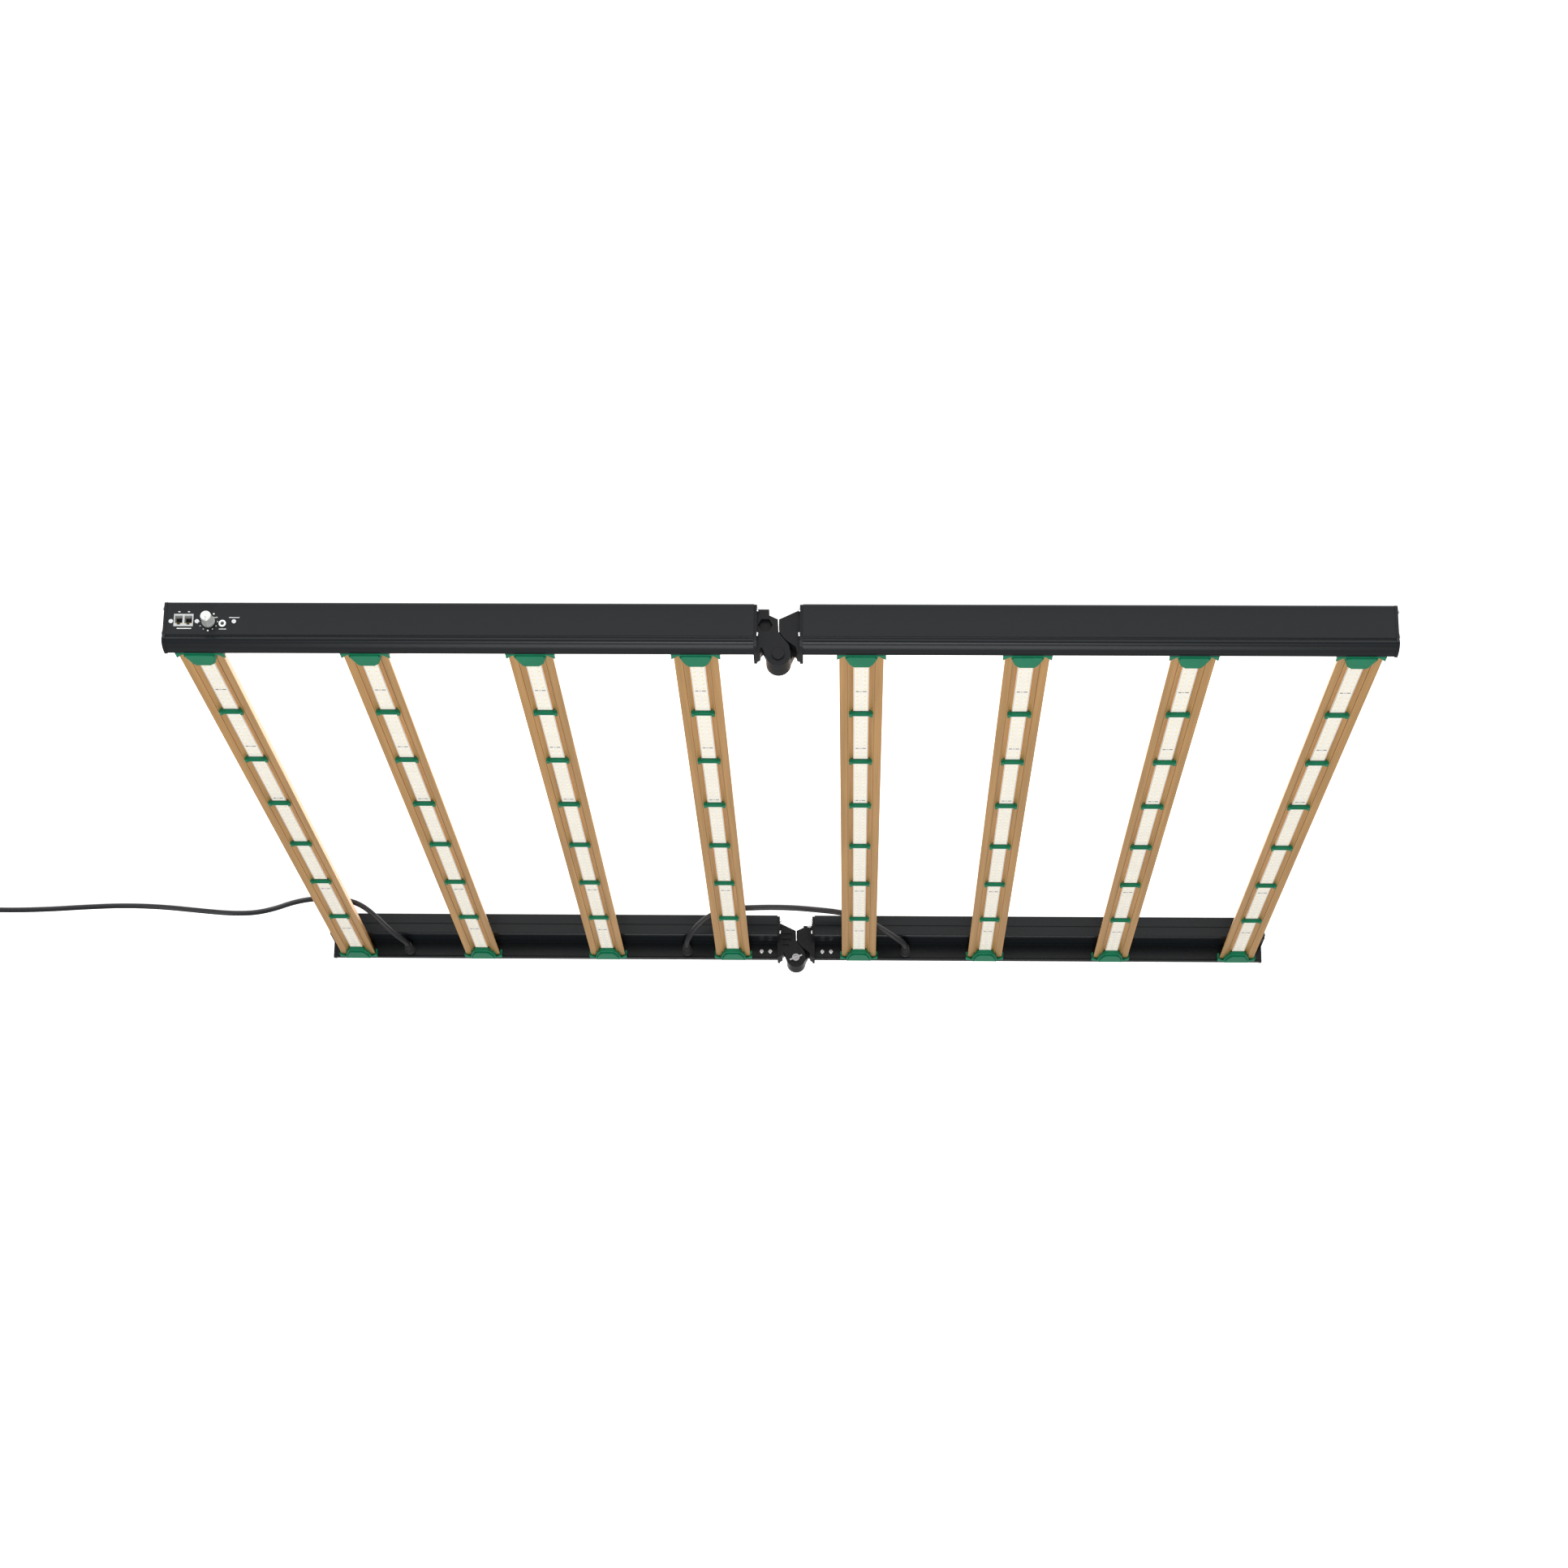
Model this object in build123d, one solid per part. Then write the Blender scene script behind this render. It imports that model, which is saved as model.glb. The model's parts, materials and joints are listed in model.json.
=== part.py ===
from build123d import *
import math
import os

# Folding LED grow light, lying on its back with the LED side up. Millimetres.
# X runs along the rails, Y along the light bars and +Z is the way the LEDs shine.
# Two halves fold about one line along Y. The half at +X carries the controls.
# "inward" distances are measured from a rail's outermost line towards the middle.

# ---- driving dimensions -------------------------------------------------
RAIL_SPAN = 1170.0  # over the outer ends of the rails, along X
WIDTH = 1090.0  # over the two rails, along Y
HINGE_GAP = 23.5  # from the fold line to each rail's cut end
BAR_PITCH = 158.6
BARS = 8
CLIP_PITCH = 143.3
CLIPS_PER_BAR = 6

# ---- rail section: an inverted L, (inward, up) ---------------------------
FACE = 2.0  # the flat outer face, behind the crest
DEPTH = 55.0
LEDGE_Z = 27.0
LIP_IN, LIP_Z = 18.0, 47.0
STEP_Z = 34.5
CREST_Z = 39.0
WALL = 2.4
BOSSES = [(5.2, 6.0), (5.2, 31.0), (50.8, 5.6), (50.8, 21.2)]
BOSS_R, BOSS_HOLE_R = 3.0, 1.25
PLATE_T, PLATE_PROUD = 3.0, 0.6

# ---- hinge ----------------------------------------------------------------
PIVOT_Z = 50.0
LOBE_R = 12.0
PIN_R, PIN_BORE_R, HEAD_R = 4.0, 4.05, 4.6
KNUCKLE_IN, KNUCKLE_OUT = 35.0, 8.0  # the knuckle's inner and outer face
SPLIT_IN = 22.5  # where the outer leaf meets the inner leaf
LEAF_GAP = 0.3
FLANGE_T = 3.0
TIP_Z = 49.6  # the knuckles' highest corners beside their rails
NOTCH = (15.5, 43.0)  # the corner between such a tip and the lobe
LOCK_SCREWS_X = (33.0, 44.0)
TAB_X, TAB_Z, TAB_REACH = 16.5, 7.0, 7.5
HEX_X, HEX_Z, HEX_R, HEX_DEPTH = 12.6, 20.5, 7.2, 5.0
CAP_DISC_R, CAP_DISC_T = 6.0, 1.8

# ---- bars -------------------------------------------------------------------
BAR_TIP, BAR_TIP_Z = 21.3, 45.0
BOARD_W, BOARD_T, BOARD_Z = 15.2, 1.6, 42.0  # BOARD_Z is its upper face
BAR_IN = LIP_IN + 1.0  # a bar starts this far inward
BAR_LENGTH = WIDTH - 2 * BAR_IN
CAP_Z = 49.4
CAP_REACH, CAP_W = 29.0, 15.5
BAR_SCREWS_IN = (26.0, 42.0)

# ---- controls, on the front rail's outer face -------------------------------
PANEL_Z = 21.0
SOCKET_X, SOCKET_W, SOCKET_LOW, SOCKET_HIGH = 568.5, 18.9, 13.3, 26.0
KNOB_X, KNOB_R, KNOB_PROUD = 544.5, 6.0, 15.5
JACK_X, JACK_Z, JACK_R = 531.0, 23.0, 3.6
PANEL_SCREWS_X = (580.5, 555.5, 520.0)
PCB_IN, PCB_T = 12.0, 1.6
DRIVER_X = (262.0, 372.0)

# ---- hanging points ---------------------------------------------------------------
INSERT_X, INSERT_IN, INSERT_R, INSERT_DEPTH = 158.6, 30.0, 4.2, 12.0
INSERT_BORE_R, INSERT_BORE_DEPTH = 2.5, 10.0

# ---- cords ---------------------------------------------------------------------
GLAND_X, JUMPER_X, GLAND_Z = 491.0, 138.0, 37.0
GLAND_LENGTH = 16.0
JUMPER_D, MAINS_D = 7.0, 6.5
CORD_Y = WIDTH / 2 - LIP_IN - GLAND_LENGTH  # where a cord leaves its gland
JUMPER_ROUTE = [
    (138, CORD_Y, GLAND_Z),
    (138, 494, GLAND_Z),
    (134, 473, 34),
    (123, 457, 24),
    (106, 450, 12),
    (84, 449, 4.5),
    (58, 447, 3.6),
    (29, 444, 3.7),
    (0, 446.5, 3.6),
    (-27, 454, 3.7),
    (-53, 461, 4.2),
    (-76, 465, 8.5),
    (-97, 468, 17),
    (-114.6, 470.6, 27.5),
    (-129.4, 479, 34.5),
    (-138, 494, GLAND_Z),
    (-138, CORD_Y, GLAND_Z),
]
MAINS_ROUTE = [
    (491, CORD_Y, GLAND_Z),
    (491, 495, GLAND_Z),
    (497, 479, 36),
    (507, 463, 31.5),
    (519, 449, 22.5),
    (531, 437, 13),
    (545, 427, 6),
    (562, 420, 3.5),
    (583, 416.5, 3.4),
    (605, 420, 3.5),
    (629, 436, 3.4),
    (654, 461, 3.5),
    (683, 481, 3.4),
    (714, 483, 3.5),
    (751, 472, 3.4),
    (794, 456, 3.5),
    (842, 451, 3.4),
    (892, 458, 3.5),
    (942, 469, 3.4),
    (992, 474, 3.5),
    (1038, 470, 3.4),
    (1080, 461, 3.5),
]
COIL_X, COIL_Y = 1088.0, 418.0
COIL_R, COIL_LAYERS = 36.0, 3  # mean radius, and turns across and up
TIE_TURN = -145.0
PLUG_Z, PLUG_START = 12.5, 19.0
PLUG_TURN = 0.0  # the lead leaves the coil at this angle round it, running clockwise

HALVES = {"main": 1, "fold": -1}
# The origin is under the middle of the whole light, and the knob stands out on one side.
CENTRE_Y = (KNOB_PROUD - FACE - PLATE_PROUD) / 2


def slab(face, low, high):
    """A flat shape drawn in (X, Z), as a solid from Y low to Y high."""
    return extrude(Plane((0, high, 0), x_dir=(1, 0, 0), z_dir=(0, -1, 0)) * face, high - low)


def bar_of(face, low, high):
    """A flat shape drawn in (Y, Z), as a solid from X low to X high."""
    return extrude(Plane((low, 0, 0), x_dir=(0, 1, 0), z_dir=(1, 0, 0)) * face, high - low)


def block(x0, x1, y0, y1, z0, z1):
    return Pos((x0 + x1) / 2, (y0 + y1) / 2, (z0 + z1) / 2) * Box(x1 - x0, y1 - y0, z1 - z0)


def rod(start, direction, radius, length):
    along = Plane(origin=start, z_dir=direction)
    return along * Cylinder(radius, length, align=(Align.CENTER, Align.CENTER, Align.MIN))


def cone(start, direction, r0, r1, length):
    along = Plane(origin=start, z_dir=direction)
    return along * Cone(r0, r1, length, align=(Align.CENTER, Align.CENTER, Align.MIN))


def screw(start, direction, head_r, head_h, shank_r, length):
    """A pan-head screw with a cross recess; start is the centre of the face under its head."""
    along = Plane(origin=start, z_dir=direction)
    head = Cylinder(head_r, head_h, align=(Align.CENTER, Align.CENTER, Align.MIN))
    head = fillet(head.edges().sort_by(Axis.Z)[-1], head_h * 0.45)
    slot = Pos(0, 0, head_h) * Box(head_r * 1.1, head_r * 0.24, head_h)
    shank = Cylinder(shank_r, length, align=(Align.CENTER, Align.CENTER, Align.MAX))
    return along * (head + shank - slot - Rot(0, 0, 90) * slot)


def near(face, points, within=0.05):
    """The corners of a flat shape that lie at these points."""
    return [v for v in face.vertices() if any(math.dist((v.X, v.Y), p) < within for p in points)]


def group(pieces):
    """Separate solids in one node."""
    return Compound([solid for piece in pieces for solid in piece.solids()])


def at_front(shape):
    """From inward distances to the front rail's place."""
    return Pos(0, -WIDTH / 2, 0) * shape


def at_rear(shape):
    return mirror(at_front(shape), about=Plane.XZ)


# ---- rails -----------------------------------------------------------------
def rail_outline():
    sides = Polyline(
        (LIP_IN, LIP_Z),
        (LIP_IN, LEDGE_Z),
        (DEPTH, LEDGE_Z),
        (DEPTH, 0),
        (FACE, 0),
        (FACE, STEP_Z),
        (FACE + 0.9, STEP_Z + 1.2),
        (0.6, CREST_Z - 1.6),
        (0, CREST_Z),
    )
    bulge = EllipticalCenterArc(
        (LIP_IN, CREST_Z), LIP_IN, LIP_Z - CREST_Z, start_angle=90, arc_size=90
    )
    face = make_face(sides.edges() + [bulge])
    face = fillet(near(face, [(FACE, 0)]), 4.0)
    face = fillet(near(face, [(FACE, STEP_Z)]), 2.0)
    face = fillet(near(face, [(FACE + 0.9, STEP_Z + 1.2)]), 0.8)
    face = fillet(near(face, [(DEPTH, LEDGE_Z)]), 2.5)
    return fillet(near(face, [(DEPTH, 0)]), 1.5)


def rail_section():
    """The hollow extrusion: grooves and a bead outside, one chamber with screw bosses inside."""
    low = Pos((FACE + DEPTH) / 2, LEDGE_Z / 2) * Rectangle(
        DEPTH - FACE - 2 * WALL, LEDGE_Z - 2 * WALL
    )
    high = make_face(
        Polyline(
            (FACE + WALL, WALL * 2),
            (LIP_IN - WALL, WALL * 2),
            (LIP_IN - WALL, LIP_Z - 3.6),
            (10.5, LIP_Z - 4.8),
            (FACE + 3.8, CREST_Z - 0.4),
            (FACE + 3.8, STEP_Z - 1.5),
            (FACE + WALL, STEP_Z - 2.5),
            close=True,
        )
    )
    chamber = low + high
    for y, z in BOSSES:
        chamber -= Pos(y, z) * Circle(BOSS_R)
    section = rail_outline() - chamber
    for y, z in BOSSES:
        section -= Pos(y, z) * Circle(BOSS_HOLE_R)
    for y in (26.0, 29.0, 43.5):
        section -= Pos(y, LEDGE_Z) * Rectangle(0.9, 1.2)
    section -= Pos(DEPTH, 13.5) * Rectangle(2.0, 1.8)
    section -= Pos(14.6, LIP_Z) * Rectangle(0.7, 1.6)
    return section + Pos(LIP_IN - 0.5, LIP_Z - 1.6) * Circle(1.2)


def panel_cuts():
    cuts = [block(SOCKET_X - SOCKET_W / 2, SOCKET_X + SOCKET_W / 2, -1, 6, SOCKET_LOW, SOCKET_HIGH)]
    cuts.append(rod((KNOB_X, -1, PANEL_Z), (0, 1, 0), 3.6, 8))
    cuts.append(rod((JACK_X, -1, JACK_Z), (0, 1, 0), JACK_R, 8))
    for x in PANEL_SCREWS_X:
        cuts.append(rod((x, -1, PANEL_Z), (0, 1, 0), 1.3, 8))
    return cuts


def rail(side, front):
    """One rail half, drawn at the front and at +X, then put in its place."""
    x0, x1 = HINGE_GAP, RAIL_SPAN / 2
    body = bar_of(rail_section(), x0, x1)
    cuts = [rod((INSERT_X, INSERT_IN, -1), (0, 0, 1), INSERT_R, WALL + 2)]
    for x in half_bars():
        for y in BAR_SCREWS_IN:
            cuts.append(rod((x, y, LEDGE_Z - 4), (0, 0, 1), 2.1, 6))
    for x in LOCK_SCREWS_X:
        cuts.append(rod((x, LIP_IN - 4, GLAND_Z), (0, 1, 0), 1.6, 6))
    if not front:
        for x in (JUMPER_X, GLAND_X) if side > 0 else (JUMPER_X,):
            cuts.append(rod((x, LIP_IN - 4, GLAND_Z), (0, 1, 0), 5.0, 8))
    elif side > 0:
        cuts += panel_cuts()
    for cut in cuts:
        body -= cut
    body = at_front(body) if front else at_rear(body)
    return body if side > 0 else mirror(body, about=Plane.YZ)


def end_plate(side, front):
    """The cast plate on a rail's outer end, a little proud of the extrusion all round."""
    p = PLATE_PROUD
    sides = Polyline(
        (LIP_IN + p, LIP_Z + p),
        (LIP_IN + p, LEDGE_Z + p),
        (DEPTH + p, LEDGE_Z + p),
        (DEPTH + p, 0),
        (FACE - p, 0),
        (FACE - p, STEP_Z),
        (-p, CREST_Z),
    )
    bulge = EllipticalCenterArc(
        (LIP_IN + p, CREST_Z), LIP_IN + 2 * p, LIP_Z + p - CREST_Z, start_angle=90, arc_size=90
    )
    outline = make_face(sides.edges() + [bulge])
    outline = fillet(near(outline, [(FACE - p, 0)]), 4.0)
    outline = fillet(near(outline, [(DEPTH + p, LEDGE_Z + p)]), 2.5)
    body = bar_of(outline, RAIL_SPAN / 2, RAIL_SPAN / 2 + PLATE_T)
    for y, z in BOSSES:
        body -= rod((RAIL_SPAN / 2 - 1, y, z), (1, 0, 0), 1.4, 6)
    body = at_front(body) if front else at_rear(body)
    return body if side > 0 else mirror(body, about=Plane.YZ)


def end_plate_screws(side):
    start = RAIL_SPAN / 2 + PLATE_T
    one_end = [screw((start, y, z), (1, 0, 0), 2.4, 1.5, 1.15, 14) for y, z in BOSSES]
    both = [place(s) for place in (at_front, at_rear) for s in one_end]
    return group(both if side > 0 else [mirror(s, about=Plane.YZ) for s in both])


# ---- bars ----------------------------------------------------------------------
def half_bars():
    return [(i + 0.5) * BAR_PITCH for i in range(BARS // 2)]


def bar_section():
    """The finned heat sink: a shallow trough for the board, and five fins at its back."""
    right = [
        (15.0, LEDGE_Z),
        (20.6, BAR_TIP_Z - 2.6),
        (BAR_TIP, BAR_TIP_Z - 1.6),
        (BAR_TIP, BAR_TIP_Z),
        (13.5, 43.4),
        (13.3, 42.3),
        (12.8, 42.3),
        (12.8, 43.5),
        (12.1, 43.5),
        (BOARD_W / 2 + 0.6, BOARD_Z - BOARD_T),
    ]
    left = [(-x, z) for x, z in reversed(right)]
    face = make_face(Polyline(*right, *left, close=True))
    for x, wide in ((5.4, 4.4), (11.4, 4.0)):
        for s in (1, -1):
            face -= Pos(s * x, LEDGE_Z + 4.0) * Rectangle(wide, 13.0)
    return face


def light_bar(x):
    body = Pos(x, 0, 0) * slab(bar_section(), -BAR_LENGTH / 2, BAR_LENGTH / 2)
    for y in BAR_SCREWS_IN:
        for s in (1, -1):
            body -= rod((x, s * (WIDTH / 2 - y), LEDGE_Z - 1), (0, 0, 1), 2.05, 10.5)
    return body


def led_board(x):
    low = BOARD_Z - BOARD_T
    half = BAR_LENGTH / 2 - 4
    return block(x - BOARD_W / 2, x + BOARD_W / 2, -half, half, low, BOARD_Z)


def board_clips(side):
    """The bridges that hold each board down in its trough."""
    right = [(9.7, BOARD_Z), (11.9, 43.9), (12.9, 43.9), (12.9, 45.0), (12.0, 45.6), (11.0, 44.6)]
    left = [(-x, z) for x, z in reversed(right)]
    face = make_face(Polyline(*right, *left, close=True))
    one = slab(face, -3.75, 3.75)
    first = -(CLIPS_PER_BAR - 1) / 2
    return group(
        Pos(side * x, (first + i) * CLIP_PITCH, 0) * one
        for x in half_bars()
        for i in range(CLIPS_PER_BAR)
    )


def end_cap():
    """A bar's end cap at the front: a crowned pad over the trough and a tab round each wing."""
    start, stop = BAR_IN, BAR_IN + CAP_REACH
    plan = make_face(
        Polyline((-CAP_W, start), (CAP_W, start), (CAP_W, start + 9), (10.0, stop), (-10.0, stop),
                 (-CAP_W, start + 9), close=True)
    )
    pad = Pos(0, 0, 44.0) * extrude(plan, CAP_Z - 44.0)
    pad = fillet(pad.faces().sort_by(Axis.Z)[-1].outer_wire().edges(), 1.6)
    pad += block(-7, 7, start, stop, BOARD_Z, 44.5)
    yoke = block(-23.4, 23.4, start, start + 2.4, 45.3, 47.2)
    for s in (-1, 1):
        edge = sorted((s * BAR_TIP, s * 23.4))
        yoke += block(edge[0], edge[1], start, start + 7.5, 39.0, 47.2)
        over = sorted((s * 16.0, s * 23.4))
        yoke += block(over[0], over[1], start, start + 7.5, 45.3, 47.2)
    return pad + yoke


def bar_end_caps(side):
    one = end_cap()
    return group(
        Pos(side * x, 0, 0) * place(one) for x in half_bars() for place in (at_front, at_rear)
    )


def bar_screws(side):
    """Screws from inside the rails up into the bars' middle fins."""
    return group(
        screw((side * x, s * (WIDTH / 2 - y), LEDGE_Z - WALL), (0, 0, -1), 3.6, 2.4, 2.0, 11.5)
        for x in half_bars()
        for y in BAR_SCREWS_IN
        for s in (1, -1)
    )


# ---- hinge -----------------------------------------------------------------------
def lobe_touch(corner, radius):
    """Where the straight edge from a corner touches a circle round the pivot."""
    away = math.dist(corner, (0, PIVOT_Z))
    turn = math.atan2(corner[1] - PIVOT_Z, corner[0]) + math.acos(radius / away)
    return (radius * math.cos(turn), PIVOT_Z + radius * math.sin(turn))


def leaf_with_lobe():
    """The leaf that carries a pivot lobe, in (X, Z), for the half at +X."""
    sweep_edge = Spline((0.5, 23), (-2.6, 31), (-8.4, 38.2), (-11.0, 45.6), tangents=[(0, 1), (0, 1)])
    inside = LOBE_R - 0.8
    rest = Polyline(
        (-11.0, 45.6), (-inside, PIVOT_Z), (0, PIVOT_Z), lobe_touch(NOTCH, inside), NOTCH,
        (HINGE_GAP, TIP_Z), (HINGE_GAP, 3.5), (0.5, 14.5), (0.5, 23),
    )
    return make_face([sweep_edge] + rest.edges()) + Pos(0, PIVOT_Z) * Circle(LOBE_R)


def leaf_beside_lobe():
    """The leaf beside the other half's lobe, cut back along an S so that the lobe can turn."""
    sweep_edge = Spline(
        (0.5, 23), (3.9, 31.5), (10.2, 37.8), (15.6, 41.6), (17.5, 46.5), tangents=[(0, 1), (0, 1)]
    )
    rest = Polyline((17.5, 46.5), (HINGE_GAP, TIP_Z), (HINGE_GAP, 3.5), (0.5, 14.5), (0.5, 23))
    return make_face([sweep_edge] + rest.edges())


def flange_outline():
    return make_face(
        Polyline((3, 1.5), (3, 34), (1.5, 39), (5, 43.6), (KNUCKLE_OUT, TIP_Z), (KNUCKLE_IN, TIP_Z),
                 (36.5, 27.5), (54, 26.5), (54, 1.5), close=True)
    )


def spigot():
    """The stub of a knuckle inside its rail."""
    low = block(HINGE_GAP - 1, 50, 12, 46, WALL + 0.2, LEDGE_Z - WALL - 0.2)
    high = block(HINGE_GAP - 1, 54, 8.6, LIP_IN - WALL - 0.3, WALL + 8, 40.0)
    return low + high


def knuckle(outer_lobe):
    """A hinge knuckle for the half at +X at the front. outer_lobe: its lobe is in the outer leaf."""
    layers = [(KNUCKLE_OUT, SPLIT_IN - LEAF_GAP / 2), (SPLIT_IN + LEAF_GAP / 2, KNUCKLE_IN)]
    lobed = layers[0] if outer_lobe else layers[1]
    body = slab(leaf_with_lobe(), *lobed) + slab(leaf_beside_lobe(), KNUCKLE_OUT, KNUCKLE_IN)
    body += bar_of(flange_outline(), HINGE_GAP - FLANGE_T, HINGE_GAP) + spigot()
    for y, z in BOSSES:
        body -= rod((HINGE_GAP - FLANGE_T - 1, y, z), (1, 0, 0), 1.4, 6)
    for x in LOCK_SCREWS_X:
        body -= rod((x, 6, GLAND_Z), (0, 1, 0), 1.5, 12)
    body -= rod((0, KNUCKLE_OUT - 1, PIVOT_Z), (0, 1, 0), PIN_BORE_R, 40)
    if outer_lobe:
        body += block(TAB_X - TAB_REACH, HINGE_GAP - 1, KNUCKLE_OUT, SPLIT_IN, TAB_Z - 2.6, TAB_Z + 6)
        body -= rod((TAB_X, SPLIT_IN, TAB_Z), (0, 1, 0), 3.4, 20)
        body -= rod((TAB_X, SPLIT_IN - 9, TAB_Z), (0, 1, 0), 1.55, 12)
        hexagon = Pos(HEX_X, HEX_Z) * RegularPolygon(HEX_R, 6)
        body -= slab(hexagon, KNUCKLE_OUT - 1, KNUCKLE_OUT + HEX_DEPTH)
    else:
        for x, z in ((5.5, 18), (6.5, 25), (9.0, 32)):
            body -= block(x, 17.5, KNUCKLE_IN - 1.6, KNUCKLE_IN + 1, z, z + 3.6)
    return body


def flange_screws():
    """The screws that hold the knuckle at +X at the front: four in its flange, two in its spigot."""
    face = HINGE_GAP - FLANGE_T
    found = [screw((face, y, z), (-1, 0, 0), 2.2, 1.6, 1.15, 14) for y, z in BOSSES]
    found += [screw((x, LIP_IN, GLAND_Z), (0, 1, 0), 2.9, 1.8, 1.5, 8) for x in LOCK_SCREWS_X]
    return found


def hinge_screws(side):
    found = [place(s) for place in (at_front, at_rear) for s in flange_screws()]
    if side < 0:
        found = [mirror(s, about=Plane.YZ) for s in found]
    lock = at_front(screw((TAB_X, SPLIT_IN, TAB_Z), (0, 1, 0), 3.0, 2.0, 1.5, 8))
    found.append(lock if side > 0 else Rot(0, 0, 180) * lock)
    return group(found)


def knuckle_at(side, front):
    """The rear hinge is the front one turned half round, so its outer lobe is on the other half."""
    outer_lobe = (side > 0) == front
    body = at_front(knuckle(outer_lobe))
    if side < 0 and front or side > 0 and not front:
        body = mirror(body, about=Plane.YZ)
    return body if front else Rot(0, 0, 180) * body


def pivot_bolt():
    """The hinge bolt: a shaft along Y, a round head on the inner side and a bar across the head."""
    head_start = KNUCKLE_IN + 0.2
    start = KNUCKLE_OUT - 1.0
    body = rod((0, start, PIVOT_Z), (0, 1, 0), PIN_R, head_start - start + 0.5)
    body += rod((0, head_start, PIVOT_Z), (0, 1, 0), HEAD_R, 3.0)
    body -= rod((0, head_start + 1.6, PIVOT_Z), (0, 1, 0), HEAD_R - 1.6, 3)
    bar = Rot(0, 22, 0) * Box(16.5, 1.4, 2.0)
    return body + Pos(0, head_start + 1.8, PIVOT_Z) * bar


def pivot_nut():
    """A low round cap nut over the bolt's outer end, with a blind bore."""
    stop = KNUCKLE_OUT - 0.2
    body = rod((0, stop - CAP_DISC_T, PIVOT_Z), (0, 1, 0), CAP_DISC_R, CAP_DISC_T)
    body = fillet(body.edges().filter_by(GeomType.CIRCLE).sort_by(Axis.Y)[0], 0.6)
    return body - rod((0, KNUCKLE_OUT - 1.0, PIVOT_Z), (0, 1, 0), PIN_R, 4)


def both_hinges(shape):
    return group([at_front(shape), Rot(0, 0, 180) * at_front(shape)])


# ---- controls -------------------------------------------------------------------
def signal_sockets():
    """Two square ports side by side in one moulded body, with a thin bezel on the rail's face."""
    half = SOCKET_W / 2 - 0.15
    low, high = SOCKET_LOW + 0.1, SOCKET_HIGH - 0.1
    body = block(SOCKET_X - half, SOCKET_X + half, FACE - 0.6, PCB_IN, low, high)
    for s in (-1, 1):
        x = SOCKET_X + s * 4.6
        body -= block(x - 3.7, x + 3.7, 0, PCB_IN - 1.5, SOCKET_LOW + 1.8, SOCKET_HIGH - 3.0)
        body -= block(x - 1.6, x + 1.6, 0, PCB_IN - 1.5, SOCKET_HIGH - 3.5, SOCKET_HIGH - 1.6)
    return at_front(body)


def dimmer_knob():
    """A fluted knob with a skirt and a pointer groove, bored for the dimmer's shaft."""
    z = PANEL_Z
    tip = FACE - KNOB_PROUD
    body = cone((KNOB_X, tip, z), (0, 1, 0), KNOB_R - 0.9, KNOB_R - 0.3, KNOB_PROUD - 3.0)
    rim = body.edges().filter_by(GeomType.CIRCLE).sort_by(Axis.Y)[0]
    body = fillet(rim, 0.9)
    flutes = 18
    for i in range(flutes):
        turn = 2 * math.pi * i / flutes
        x, dz = KNOB_R * math.sin(turn), KNOB_R * math.cos(turn)
        body -= rod((KNOB_X + x, tip - 1, z + dz), (0, 1, 0), 0.62, KNOB_PROUD - 2.6)
    body += cone((KNOB_X, FACE - 3.4, z), (0, 1, 0), KNOB_R - 0.1, KNOB_R + 0.4, 2.6)
    body -= block(KNOB_X - 0.45, KNOB_X + 0.45, tip - 1, tip + 0.7, z + 0.8, z + KNOB_R)
    return at_front(body - rod((KNOB_X, FACE - 12, z), (0, 1, 0), 3.0, 20))


def dimmer_shaft():
    return at_front(rod((KNOB_X, FACE - 12, PANEL_Z), (0, 1, 0), 3.0, 12 + 4.5))


def dimmer_body():
    """The potentiometer: a threaded bush with a running bore, and a square case on the board."""
    bush = rod((KNOB_X, FACE - 0.5, PANEL_Z), (0, 1, 0), 3.5, 6)
    case = block(KNOB_X - 5.5, KNOB_X + 5.5, FACE + WALL, PCB_IN, PANEL_Z - 6, PANEL_Z + 6)
    return at_front(bush + case - rod((KNOB_X, 0, PANEL_Z), (0, 1, 0), 3.05, FACE + 4.8))


def sensor_jack():
    ring = rod((JACK_X, FACE - 0.9, JACK_Z), (0, 1, 0), JACK_R - 0.1, 6)
    case = block(JACK_X - 4, JACK_X + 4, FACE + WALL, PCB_IN, JACK_Z - 4, JACK_Z + 4)
    return at_front(ring + case - rod((JACK_X, 0, JACK_Z), (0, 1, 0), 1.8, PCB_IN - 1.5))


def control_board():
    board = block(513, 583.5, PCB_IN, PCB_IN + PCB_T, 6, 33)
    for x in PANEL_SCREWS_X:
        board += rod((x, FACE + WALL, PANEL_Z), (0, 1, 0), 2.6, PCB_IN - FACE - WALL)
        board -= rod((x, 0, PANEL_Z), (0, 1, 0), 1.15, 14.5)
    for x, z in ((538, 9), (551, 29), (575, 29), (525, 30)):
        board += block(x - 3, x + 3, PCB_IN - 1.4, PCB_IN, z - 1.6, z + 1.6)
    return at_front(board)


def panel_screws():
    return group(
        at_front(screw((x, FACE, PANEL_Z), (0, -1, 0), 2.2, 1.1, 1.1, 12)) for x in PANEL_SCREWS_X
    )


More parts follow.
